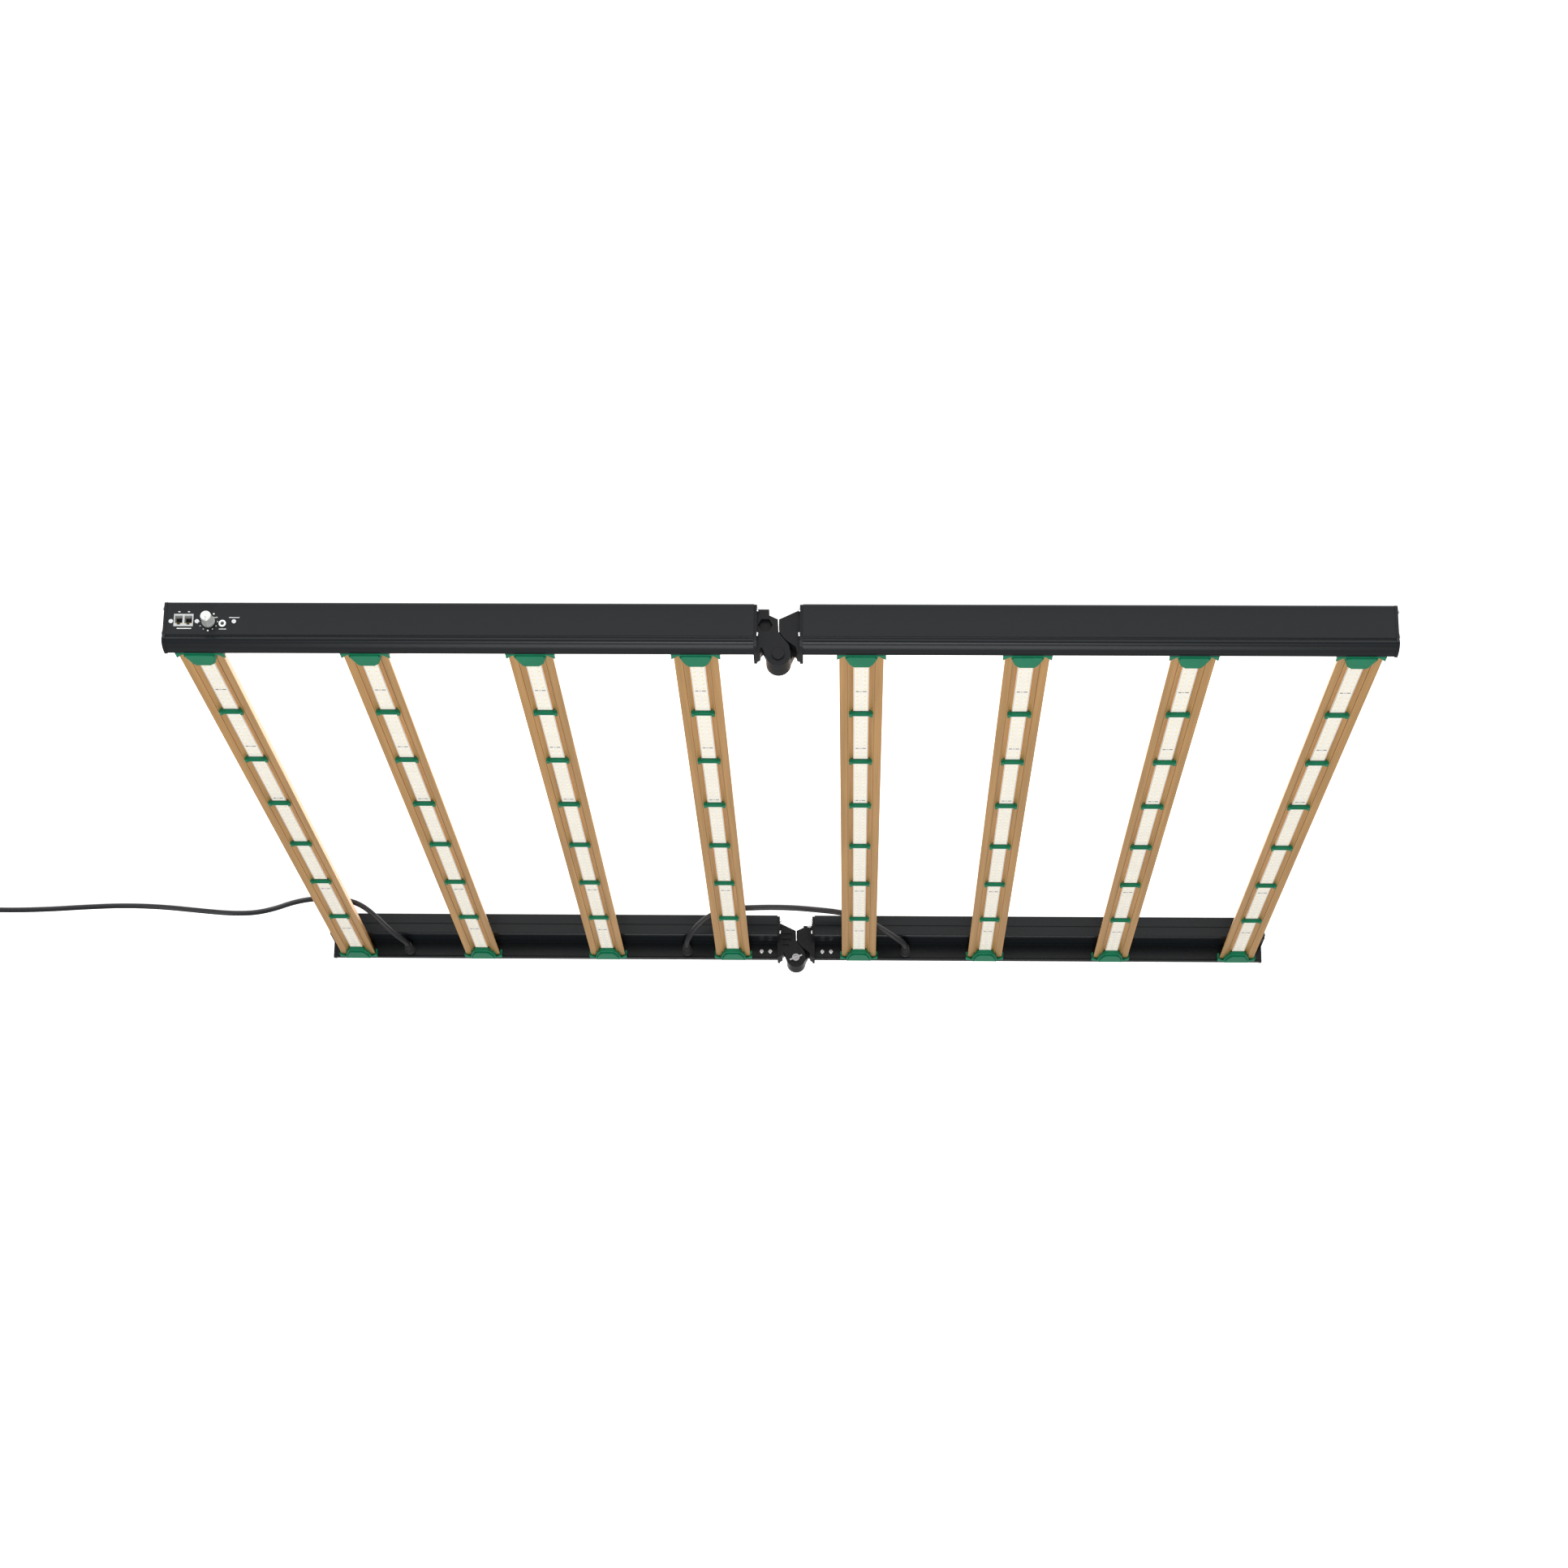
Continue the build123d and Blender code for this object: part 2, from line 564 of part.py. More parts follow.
def driver(side):
    """The power supply in a rear rail: a tray and board with its transformer, choke and capacitors."""
    x0, x1 = DRIVER_X
    body = block(x0, x1, 12, 44, WALL, WALL + 1.6) + block(x0, x1, 13, 43, WALL + 1.6, WALL + 4)
    body += block(x0 + 36, x0 + 62, 16, 38, WALL + 4, 20)
    body += block(x0 + 70, x0 + 84, 18, 34, WALL + 4, 17)
    for x, y in ((x0 + 12, 20), (x0 + 12, 33), (x0 + 26, 27)):
        body += rod((x, y, WALL + 4), (0, 0, 1), 5.0, 12)
    body += block(x0 + 92, x0 + 104, 15, 41, WALL + 4, 12)
    body = at_rear(body)
    return body if side > 0 else mirror(body, about=Plane.YZ)


# ---- hanging points -----------------------------------------------------------------
def hanging_inserts(side):
    """M6 threaded inserts, flush in the rails' backs."""
    one = rod((side * INSERT_X, INSERT_IN, 0), (0, 0, 1), INSERT_R, INSERT_DEPTH)
    one -= rod((side * INSERT_X, INSERT_IN, 0), (0, 0, 1), INSERT_BORE_R, INSERT_BORE_DEPTH)
    return group([at_front(one), at_rear(one)])


# ---- cords ------------------------------------------------------------------------
def gland(x):
    """A moulded strain relief through the rail's wall, pointing inward."""
    body = rod((x, LIP_IN - 5, GLAND_Z), (0, 1, 0), 4.95, 5)
    body += rod((x, LIP_IN, GLAND_Z), (0, 1, 0), 7.0, 2.6)
    body += cone((x, LIP_IN + 2.6, GLAND_Z), (0, 1, 0), 5.8, 4.2, GLAND_LENGTH - 2.6)
    return at_rear(body)


def corner_radii(route):
    """As large an arc at each corner as its two runs allow."""
    points = [Vector(*p) for p in route]
    found = []
    for a, b, c in zip(points, points[1:], points[2:]):
        turn = math.radians((b - a).get_angle(c - b))
        found.append(0.45 * min((b - a).length, (c - b).length) / math.tan(turn / 2))
    return found


def cord_tube(name, route, diameter):
    radii = corner_radii(route)
    path = FilletPolyline(*route, radius=radii)
    start = Plane(origin=path @ 0, z_dir=path % 0)
    tube = sweep(start * Circle(diameter / 2), path=path)
    share = tube.volume / (path.length * math.pi * diameter**2 / 4)
    print(name, "length", round(path.length), "volume share", round(share, 4))
    print("  radii", [round(r) for r in radii])
    return tube


def coil_section():
    size = COIL_LAYERS * MAINS_D
    face = Pos(COIL_R, size / 2) * Rectangle(size, size)
    return fillet(face.vertices(), MAINS_D / 2)


def mains_coil():
    """The outer shape of the stored part of the lead: a ring of turns, lying flat."""
    ring = revolve(Plane.XZ * coil_section(), Axis.Z)
    return Pos(COIL_X, COIL_Y, 0) * ring


def coil_tie():
    """A band round the coil's bundle, flat on its top, its inside and its outside."""
    size = COIL_LAYERS * MAINS_D
    outer = Pos(COIL_R, size / 2 + 0.6) * Rectangle(size + 2.4, size + 1.2)
    inner = Pos(COIL_R, size / 2 - 1) * Rectangle(size + 0.3, size + 2.3)
    band = slab(outer, -5, 5) - slab(inner, -6, 6)
    band -= Pos(COIL_X, COIL_Y, 0).inverse() * mains_coil()
    return Pos(COIL_X, COIL_Y, 0) * Rot(0, 0, TIE_TURN) * band


def plug_place():
    """The frame of the plug: its Z axis runs along the lead, from the coil to the pins."""
    turn = math.radians(PLUG_TURN)
    r = COIL_R + MAINS_D
    along = Vector(math.sin(turn), -math.cos(turn), 0)
    start = Vector(COIL_X + r * math.cos(turn), COIL_Y + r * math.sin(turn), PLUG_Z)
    return Plane(origin=start + along * PLUG_START, x_dir=(0, 0, 1), z_dir=along)


def mains_plug():
    """A moulded three-pin plug with its strain relief, lying on its flat side."""
    low = (Align.CENTER, Align.CENTER, Align.MIN)
    stub = Cylinder(MAINS_D / 2, 18, align=low)
    relief = Pos(0, 0, 18) * Cone(3.9, 6.2, 26, align=low)
    grip = Pos(0, 0, 42) * Box(21, 24, 26, align=low)
    grip = fillet(grip.edges().filter_by(Axis.Z), 6)
    face = Pos(0, 0, 68) * Box(25, 27, 7, align=low)
    face = fillet(face.edges().filter_by(Axis.Z), 7)
    return plug_place() * (stub + relief + grip + face)


def plug_pins():
    low = (Align.CENTER, Align.CENTER, Align.MIN)
    flat = [Pos(3.5, y, 75) * Box(6.4, 1.5, 16, align=low) for y in (-6.35, 6.35)]
    earth = Pos(-7.0, 0, 75) * Cylinder(2.4, 19, align=low)
    return plug_place() * group(flat + [earth])


def parts():
    found = {}
    for half, side in HALVES.items():
        found[f"front_rail_{half}"] = rail(side, True)
        found[f"rear_rail_{half}"] = rail(side, False)
        found[f"front_end_plate_{half}"] = end_plate(side, True)
        found[f"rear_end_plate_{half}"] = end_plate(side, False)
        found[f"end_plate_screws_{half}"] = end_plate_screws(side)
        found[f"front_knuckle_{half}"] = knuckle_at(side, True)
        found[f"rear_knuckle_{half}"] = knuckle_at(side, False)
        found[f"hinge_screws_{half}"] = hinge_screws(side)
        found[f"board_clips_{half}"] = board_clips(side)
        found[f"bar_end_caps_{half}"] = bar_end_caps(side)
        found[f"bar_screws_{half}"] = bar_screws(side)
        found[f"driver_{half}"] = driver(side)
        found[f"hanging_inserts_{half}"] = hanging_inserts(side)
        found[f"jumper_gland_{half}"] = gland(side * JUMPER_X)
    for i in range(BARS):
        x = (BARS / 2 - 0.5 - i) * BAR_PITCH
        found[f"light_bar_{i + 1}"] = light_bar(x)
        found[f"led_board_{i + 1}"] = led_board(x)
    found["pivot_bolts"] = both_hinges(pivot_bolt())
    found["pivot_nuts"] = both_hinges(pivot_nut())
    found["signal_sockets"] = signal_sockets()
    found["dimmer_knob"] = dimmer_knob()
    found["dimmer_shaft"] = dimmer_shaft()
    found["dimmer_body"] = dimmer_body()
    found["sensor_jack"] = sensor_jack()
    found["control_board"] = control_board()
    found["panel_screws"] = panel_screws()
    found["mains_gland"] = gland(GLAND_X)
    found["jumper_cable"] = cord_tube("jumper_cable", JUMPER_ROUTE, JUMPER_D)
    found["mains_cable"] = cord_tube("mains_cable", MAINS_ROUTE, MAINS_D)
    found["mains_coil"] = mains_coil()
    found["coil_tie"] = coil_tie()
    found["mains_plug"] = mains_plug()
    found["plug_pins"] = plug_pins()
    return found


os.makedirs("parts", exist_ok=True)
for name, shape in parts().items():
    export_step(Pos(0, CENTRE_Y, 0) * shape, f"parts/{name}.step")
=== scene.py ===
import json
import math

import bmesh
import bpy
from mathutils import Matrix, Vector


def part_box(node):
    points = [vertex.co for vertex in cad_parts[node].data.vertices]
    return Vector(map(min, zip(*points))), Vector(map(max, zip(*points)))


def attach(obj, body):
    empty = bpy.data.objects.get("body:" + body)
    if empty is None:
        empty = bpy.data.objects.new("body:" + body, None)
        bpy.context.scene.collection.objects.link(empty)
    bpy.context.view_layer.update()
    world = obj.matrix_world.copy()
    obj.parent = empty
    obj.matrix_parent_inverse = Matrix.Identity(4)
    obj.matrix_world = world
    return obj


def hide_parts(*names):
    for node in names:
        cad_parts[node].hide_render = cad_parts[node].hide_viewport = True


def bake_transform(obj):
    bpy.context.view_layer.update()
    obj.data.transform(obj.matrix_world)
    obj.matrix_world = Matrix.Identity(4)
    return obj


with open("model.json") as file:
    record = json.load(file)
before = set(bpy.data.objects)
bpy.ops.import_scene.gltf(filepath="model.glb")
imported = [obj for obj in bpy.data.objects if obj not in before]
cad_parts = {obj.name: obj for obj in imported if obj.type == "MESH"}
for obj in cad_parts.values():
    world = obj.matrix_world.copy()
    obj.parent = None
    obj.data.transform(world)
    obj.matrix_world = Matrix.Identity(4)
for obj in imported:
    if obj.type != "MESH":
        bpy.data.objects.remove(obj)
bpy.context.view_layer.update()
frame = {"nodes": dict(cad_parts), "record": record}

# Folding LED grow light on a white floor, LED side up. Metres, in the CAD's frame:
# X runs along the rails, Y along the light bars, and the half at +X has the controls.

HALVES = ("main", "fold")
BARS = {f"light_bar_{i}": "main" if i < 5 else "fold" for i in range(1, 9)}
HALF_DEPTH = 0.545  # from the rails' middle line to the rear rail's crest
MIDDLE_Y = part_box("rear_rail_main")[1].y - HALF_DEPTH


def middle(node):
    """The middle of a node's box."""
    low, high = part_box(node)
    return tuple((a + b) / 2 for a, b in zip(low, high))


def bars_of(half):
    """Where the light bars of a half are, along X."""
    return [middle(bar)[0] for bar, owner in BARS.items() if owner == half]


# ---- camera: a long lens in front of the control rail, rolled half round --------------------
CAMERA_AT = (-0.0737, -3.3407, 1.1543)
CAMERA_DOWN, CAMERA_TURN, CAMERA_ROLL = 19.103, 1.357, 180.676  # degrees
CAMERA_LENS, CAMERA_SENSOR = 72.91, 36.0
CAMERA_CLIP = 0.05, 50.0


def make_camera():
    data = bpy.data.cameras.new("camera")
    data.lens, data.sensor_width = CAMERA_LENS, CAMERA_SENSOR
    data.clip_start, data.clip_end = CAMERA_CLIP
    camera = bpy.data.objects.new("camera", data)
    bpy.context.scene.collection.objects.link(camera)
    down, turn, roll = (math.radians(a) for a in (CAMERA_DOWN, CAMERA_TURN, CAMERA_ROLL))
    ahead = Vector((math.sin(turn) * math.cos(down), math.cos(turn) * math.cos(down), -math.sin(down)))
    level = Vector((math.cos(turn), -math.sin(turn), 0))
    upright = level.cross(ahead)
    right = level * math.cos(roll) + upright * math.sin(roll)
    up = upright * math.cos(roll) - level * math.sin(roll)
    facing = Matrix((right, up, -ahead)).transposed().to_4x4()
    camera.matrix_world = Matrix.Translation(CAMERA_AT) @ facing
    bpy.context.scene.camera = camera


# ---- making meshes --------------------------------------------------------------------------
def ring(centre, side, other, radius, around):
    """Corners evenly round a circle that lies in the plane of side and other."""
    turns = [2 * math.pi * i / around for i in range(around)]
    return [centre + (side * math.cos(t) + other * math.sin(t)) * radius for t in turns]


class Shape:
    """One mesh put together from boxes, prisms, turned solids and tubes."""

    def __init__(self):
        self.mesh = bmesh.new()
        self.index = 0  # the material of the faces made next

    def faces(self, corners, loops):
        made = [self.mesh.verts.new(c) for c in corners]
        for loop in loops:
            self.mesh.faces.new([made[i] for i in loop]).material_index = self.index

    def box(self, low, high):
        x, y, z = zip(low, high)
        corners = [(x[i], y[j], z[k]) for i in (0, 1) for j in (0, 1) for k in (0, 1)]
        loops = [(0, 1, 3, 2), (4, 6, 7, 5), (0, 4, 5, 1), (2, 3, 7, 6), (0, 2, 6, 4), (1, 5, 7, 3)]
        self.faces(corners, loops)

    def skin(self, corners, around):
        """The skin over a row of rings, each with so many corners around, closed at both ends."""
        last = len(corners) - around
        loops = [tuple(range(around))[::-1], tuple(range(last, len(corners)))]
        for first in range(0, last, around):
            for i in range(around):
                j = (i + 1) % around
                loops.append((first + i, first + j, first + around + j, first + around + i))
        self.faces(corners, loops)

    def prism(self, outline, axis, low, high):
        """outline is in the two axes after this one, in order round it."""
        corners = []
        for along in (low, high):
            for a, b in outline:
                corner = [0, 0, 0]
                corner[axis], corner[(axis + 1) % 3], corner[(axis + 2) % 3] = along, a, b
                corners.append(corner)
        self.skin(corners, len(outline))

    def turned(self, start, along, profile, around=32):
        """A turned solid: profile is (distance along, radius) from one end to the other."""
        start, along = Vector(start), Vector(along).normalized()
        side = along.orthogonal().normalized()
        other = along.cross(side)
        corners = []
        for distance, radius in profile:
            corners += ring(start + along * distance, side, other, radius, around)
        self.skin(corners, around)

    def tube(self, points, radius, around=16):
        """A tube along a line, kept from twisting."""
        points = [Vector(p) for p in points]
        corners, side = [], None
        for i, point in enumerate(points):
            along = (points[min(i + 1, len(points) - 1)] - points[max(i - 1, 0)]).normalized()
            side = along.orthogonal() if side is None else side - along * side.dot(along)
            side.normalize()
            corners += ring(point, side, along.cross(side), radius, around)
        self.skin(corners, around)

    def done(self, name, body, materials, bevel=0.0, smooth=0.0):
        """The finished piece. It rides on its body, or on none yet where body is None."""
        bmesh.ops.recalc_face_normals(self.mesh, faces=self.mesh.faces)
        data = bpy.data.meshes.new(name)
        self.mesh.to_mesh(data)
        self.mesh.free()
        for material in materials:
            data.materials.append(material)
        if smooth:
            data.polygons.foreach_set("use_smooth", [True] * len(data.polygons))
            data.set_sharp_from_angle(angle=math.radians(smooth))
        piece = bpy.data.objects.new(name, data)
        bpy.context.scene.collection.objects.link(piece)
        if bevel:
            edges = piece.modifiers.new("edges", "BEVEL")
            edges.width, edges.segments, edges.limit_method = bevel, 2, "ANGLE"
        if body:
            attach(piece, body)
        return piece


# ---- materials ------------------------------------------------------------------------------
VARY_STOPS = 0.35, 0.65  # where the noise's darker and lighter shades sit on its ramp
VARY_DETAIL = 4.0
BUMP_DEPTH = 0.0002


def shade(code):
    """A colour from its usual six-digit code, as linear light."""
    parts = [int(code[i:i + 2], 16) / 255 for i in (0, 2, 4)]
    return tuple(c / 12.92 if c <= 0.04045 else ((c + 0.055) / 1.055) ** 2.4 for c in parts)


def material(name, code, metallic=0.0, roughness=0.5, vary=0.0, spread=(1, 1, 1), size=40.0,
             bump=0.0, bump_size=900.0, glow=0.0, specular=0.5, coat=0.0):
    """A plain finish; vary and bump give it some unevenness, stretched by spread."""
    made = bpy.data.materials.new(name)
    made.use_nodes = True
    nodes, links = made.node_tree.nodes, made.node_tree.links
    surface = nodes["Principled BSDF"]
    colour = shade(code)
    surface.inputs["Base Color"].default_value = (*colour, 1)
    surface.inputs["Metallic"].default_value = metallic
    surface.inputs["Roughness"].default_value = roughness
    surface.inputs["Specular IOR Level"].default_value = specular
    surface.inputs["Coat Weight"].default_value = coat
    if glow:
        surface.inputs["Emission Color"].default_value = (*colour, 1)
        surface.inputs["Emission Strength"].default_value = glow
    if vary or bump:
        place = nodes.new("ShaderNodeTexCoord")
        stretch = nodes.new("ShaderNodeMapping")
        stretch.inputs["Scale"].default_value = spread
        links.new(place.outputs["Object"], stretch.inputs["Vector"])
    if vary:
        noise = nodes.new("ShaderNodeTexNoise")
        noise.inputs["Scale"].default_value = size
        noise.inputs["Detail"].default_value = VARY_DETAIL
        ramp = nodes.new("ShaderNodeValToRGB")
        for stop, position, share in zip(ramp.color_ramp.elements, VARY_STOPS, (1 - vary, 1 + vary)):
            stop.position = position
            stop.color = (*(min(c * share, 1) for c in colour), 1)
        links.new(stretch.outputs["Vector"], noise.inputs["Vector"])
        links.new(noise.outputs["Fac"], ramp.inputs["Fac"])
        links.new(ramp.outputs["Color"], surface.inputs["Base Color"])
    if bump:
        grain = nodes.new("ShaderNodeTexNoise")
        grain.inputs["Scale"].default_value = bump_size
        height = nodes.new("ShaderNodeBump")
        height.inputs["Strength"].default_value = bump
        height.inputs["Distance"].default_value = BUMP_DEPTH
        links.new(stretch.outputs["Vector"], grain.inputs["Vector"])
        links.new(grain.outputs["Fac"], height.inputs["Height"])
        links.new(height.outputs["Normal"], surface.inputs["Normal"])
    return made


ALONG_BAR = (1, 0.02, 1)
FINISH = {
    "rail_coat": material("rail_coat", "111518", roughness=0.3, bump=0.12, specular=0.19),
    "hinge_coat": material("hinge_coat", "131416", roughness=0.42, bump=0.3, bump_size=700,
                           specular=0.16),
    "bar_anodised": material("bar_anodised", "d0a062", metallic=0.6, roughness=0.36, vary=0.10,
                             spread=ALONG_BAR, size=260),
    "board_white": material("board_white", "efeadf", roughness=0.45, vary=0.02),
    "clip_green": material("clip_green", "127352", roughness=0.38, vary=0.06, specular=0.15),
    "pivot_steel": material("pivot_steel", "9b9d9f", metallic=0.9, roughness=0.4),
    "screw_steel": material("screw_steel", "c4c6c8", metallic=0.9, roughness=0.28),
    "driver_shell": material("driver_shell", "8d9094", metallic=0.6, roughness=0.45),
    "insert_brass": material("insert_brass", "b8924a", metallic=0.9, roughness=0.35),
    "gland_rubber": material("gland_rubber", "161719", roughness=0.6, bump=0.3),
    "cord_jacket": material("cord_jacket", "1e1f22", roughness=0.42, specular=0.3, vary=0.08,
                            bump=0.2, bump_size=500),
    "tie_strap": material("tie_strap", "101113", roughness=0.7, bump=0.5, bump_size=400),
    "plug_body": material("plug_body", "1e1f21", roughness=0.5, bump=0.25),
    "pin_brass": material("pin_brass", "c2a15a", metallic=0.95, roughness=0.25),
    "socket_shell": material("socket_shell", "b4b6b6", roughness=0.4, vary=0.04),
    "knob_silver": material("knob_silver", "c6c8c5", metallic=0.5, roughness=0.35),
    "shaft_steel": material("shaft_steel", "a8aaac", metallic=0.9, roughness=0.3),
    "control_parts": material("control_parts", "20402c", roughness=0.5, vary=0.1),
    "jack_metal": material("jack_metal", "c9cbcb", metallic=0.85, roughness=0.3),
}
INK = material("ink_white", "e6e7e5", roughness=0.6)
MARK = material("mark_grey", "7d7b76", roughness=0.6)
PHOSPHOR = material("phosphor", "f2e2a4", roughness=0.35, coat=0.3)
PACKAGE = material("package", "f6f3ea", roughness=0.4)
# painted shade: near-black for the shade deep inside the signal ports
PORT_SHADE = material("port_painted_shade", "0b0b0c", roughness=0.6)


def finish_nodes():
    """Every CAD node gets its slot's finish."""
    for entry in frame["record"]["subparts"]:
        node = frame["nodes"][entry["node"]]
        node.data.materials.clear()
        node.data.materials.append(FINISH[entry["material_slot"]])


# ---- cords: their routes are (X, Y from the middle line, Z) ---------------------------------
GLAND_Y = 0.511
JUMPER_D, MAINS_D = 0.007, 0.0065
JUMPER_ROUTE = [
    (0.138, GLAND_Y, 0.037),
    (0.138, 0.494, 0.037),
    (0.134, 0.473, 0.034),
    (0.123, 0.457, 0.024),
    (0.106, 0.450, 0.012),
    (0.084, 0.449, 0.0045),
    (0.058, 0.447, 0.0036),
    (0.029, 0.444, 0.0037),
    (0.0, 0.4465, 0.0036),
    (-0.027, 0.454, 0.0037),
    (-0.053, 0.461, 0.0042),
    (-0.076, 0.465, 0.0085),
    (-0.097, 0.468, 0.017),
    (-0.1146, 0.4706, 0.0275),
    (-0.1294, 0.479, 0.0345),
    (-0.138, 0.494, 0.037),
    (-0.138, GLAND_Y, 0.037),
]
MAINS_ROUTE = [
    (0.491, GLAND_Y, 0.037),
    (0.491, 0.495, 0.037),
    (0.497, 0.479, 0.036),
    (0.507, 0.463, 0.0315),
    (0.519, 0.449, 0.0225),
    (0.531, 0.437, 0.013),
    (0.545, 0.427, 0.006),
    (0.562, 0.420, 0.0035),
    (0.583, 0.4165, 0.0034),
    (0.605, 0.420, 0.0035),
    (0.629, 0.436, 0.0034),
    (0.654, 0.461, 0.0035),
    (0.683, 0.481, 0.0034),
    (0.714, 0.483, 0.0035),
    (0.751, 0.472, 0.0034),
    (0.794, 0.456, 0.0035),
    (0.842, 0.451, 0.0034),
    (0.892, 0.458, 0.0035),
    (0.942, 0.469, 0.0034),
    (0.992, 0.474, 0.0035),
    (1.038, 0.470, 0.0034),
]
COIL_X, COIL_Y = 1.088, 0.418
COIL_START = 100.5  # degrees round the coil, where the lead meets it, running clockwise
COIL_OUTER, COIL_INNER = 0.0425, 0.0295
COIL_LOW, COIL_MID, COIL_TOP = 0.00325, 0.00975, 0.01625
COIL_TURNS = [  # (turns so far, radius, height)
    (0.0, COIL_OUTER, COIL_LOW),
    (2.0, COIL_INNER, COIL_LOW),
    (2.4, COIL_INNER, COIL_MID),
    (4.4, COIL_OUTER, COIL_MID),
    (4.8, COIL_OUTER, COIL_TOP),
    (5.2, COIL_OUTER, COIL_TOP),
]
COIL_STEPS = 16  # control points to a turn
COIL_LEAVE = 0.001  # how far the lead drops as it leaves the coil's top
IN_PLUG = 0.012  # how far it runs on inside the plug
TIE_TURN = -145.0  # degrees round the coil
TIE_WIDTH, TIE_THICK = 0.010, 0.0011
TIE_OUTLINE = [  # (distance from the coil's middle, height), round the turns
    (0.0272, 0.0),
    (0.0458, 0.0),
    (0.0462, 0.0165),
    (0.0430, 0.0180),
    (0.0385, 0.0172),
    (0.0285, 0.0132),
    (0.0272, 0.0110),
]
LINE_STEPS = 12  # steps between a smooth line's control points


def shifted(route):
    return [(x, y + MIDDLE_Y, z) for x, y, z in route]


def smooth_line(name, points):
    data = bpy.data.curves.new(name, "CURVE")
    data.dimensions, data.resolution_u = "3D", LINE_STEPS
    spline = data.splines.new("NURBS")
    spline.points.add(len(points) - 1)
    for point, place in zip(spline.points, points):
        point.co = (*place, 1)
    spline.order_u = 3
    spline.use_endpoint_u = True
    piece = bpy.data.objects.new(name, data)
    bpy.context.scene.collection.objects.link(piece)
    return piece


def coil_points():
    """The coil's turns, wound clockwise from its outside."""
    found = []
    for (t0, r0, z0), (t1, r1, z1) in zip(COIL_TURNS, COIL_TURNS[1:]):
        steps = round((t1 - t0) * COIL_STEPS)
        for i in range(steps):
            share = i / steps
            turns, r, z = t0 + share * (t1 - t0), r0 + share * (r1 - r0), z0 + share * (z1 - z0)
            angle = math.radians(COIL_START) - 2 * math.pi * turns
            found.append((COIL_X + r * math.cos(angle), COIL_Y + r * math.sin(angle), z))
    return found


def mains_cord(pieces):
    """The lead from its gland over the floor, round the coil and straight into the plug."""
    plug_x, _, plug_z = middle("mains_plug")
    plug_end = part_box("mains_plug")[1].y - MIDDLE_Y
    into_plug = [
        (plug_x, COIL_Y, COIL_TOP - COIL_LEAVE),
        (plug_x, plug_end, plug_z),
        (plug_x, plug_end - IN_PLUG, plug_z),
    ]
    cord = smooth_line("mains_cord", shifted(MAINS_ROUTE + coil_points() + into_plug))
    cord.data.bevel_depth, cord.data.bevel_resolution, cord.data.use_fill_caps = MAINS_D / 2, 5, True
    cord.data.materials.append(FINISH["cord_jacket"])
    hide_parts("mains_cable", "mains_coil")
    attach(cord, "main_half")


def jumper_cord():
    """The cord from one half to the other, a tube along its route."""
    line = smooth_line("jumper_line", shifted(JUMPER_ROUTE))
    read = bpy.data.meshes.new_from_object(line)
    path = [tuple(v.co) for v in read.vertices]
    bpy.data.objects.remove(line)
    shape = Shape()
    shape.tube(path, JUMPER_D / 2)
    cord = shape.done("jumper_cord", None, [FINISH["cord_jacket"]], smooth=60)
    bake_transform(cord)
    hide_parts("jumper_cable")


def tie():
    """A strap drawn tight round the coil's turns."""
    turn = math.radians(TIE_TURN)
    out, along = Vector((math.cos(turn), math.sin(turn), 0)), Vector((-math.sin(turn), math.cos(turn), 0))
    coil = Vector((COIL_X, COIL_Y + MIDDLE_Y, 0))
    inner = [Vector(p) for p in TIE_OUTLINE]
    centre = sum(inner, Vector((0, 0))) / len(inner)
    outer = [p + (p - centre).normalized() * TIE_THICK for p in inner]
    corners = []
    for outline in (inner, outer):
        for side in (-TIE_WIDTH / 2, TIE_WIDTH / 2):
            corners += [coil + out * p.x + along * side + Vector((0, 0, max(p.y, 0))) for p in outline]
    n = len(inner)
    loops = []
    for i in range(n):
        j = (i + 1) % n
        for a, b in ((0, n), (2 * n, 3 * n), (0, 2 * n), (n, 3 * n)):
            loops.append((a + i, a + j, b + j, b + i))
    shape = Shape()
    shape.faces(corners, loops)
    piece = shape.done("tie", "main_half", [FINISH["tie_strap"]])
    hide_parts("coil_tie")
    return piece


RELIEF_SEAT = 0.005  # from the gland's far end to the wall it sits in
RELIEF_FLANGE = [  # (distance out of the wall, radius)
    (-0.004, 0.0049),
    (0.0, 0.0049),
    (0.0, 0.007),
    (0.0022, 0.007),
    (0.0028, 0.0058),
]
RIBS, RIB_START, RIB_PITCH = 7, 0.0030, 0.0029
RIB_R, RIB_TAPER, RIB_DEPTH = 0.0060, 0.00024, 0.0009
RELIEF_TIP_R = 0.0040


def strain_relief(name, node, body):
    """A ribbed, tapered sleeve where a cord leaves the rear rail."""
    x, _, z = middle(node)
    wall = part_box(node)[1].y - RELIEF_SEAT
    profile = list(RELIEF_FLANGE)
    for i in range(RIBS):
        start, crest = RIB_START + i * RIB_PITCH, RIB_R - i * RIB_TAPER
        groove = crest - RIB_DEPTH
        for share, radius in ((0, crest), (0.6, crest), (0.65, groove), (0.95, groove)):
            profile.append((start + RIB_PITCH * share, radius))
    profile.append((RIB_START + RIBS * RIB_PITCH, RELIEF_TIP_R))
    shape = Shape()
    shape.turned((x, wall, z), (0, -1, 0), profile)
    piece = shape.done(name, body, [FINISH["gland_rubber"]], smooth=35)
    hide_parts(node)
    return piece


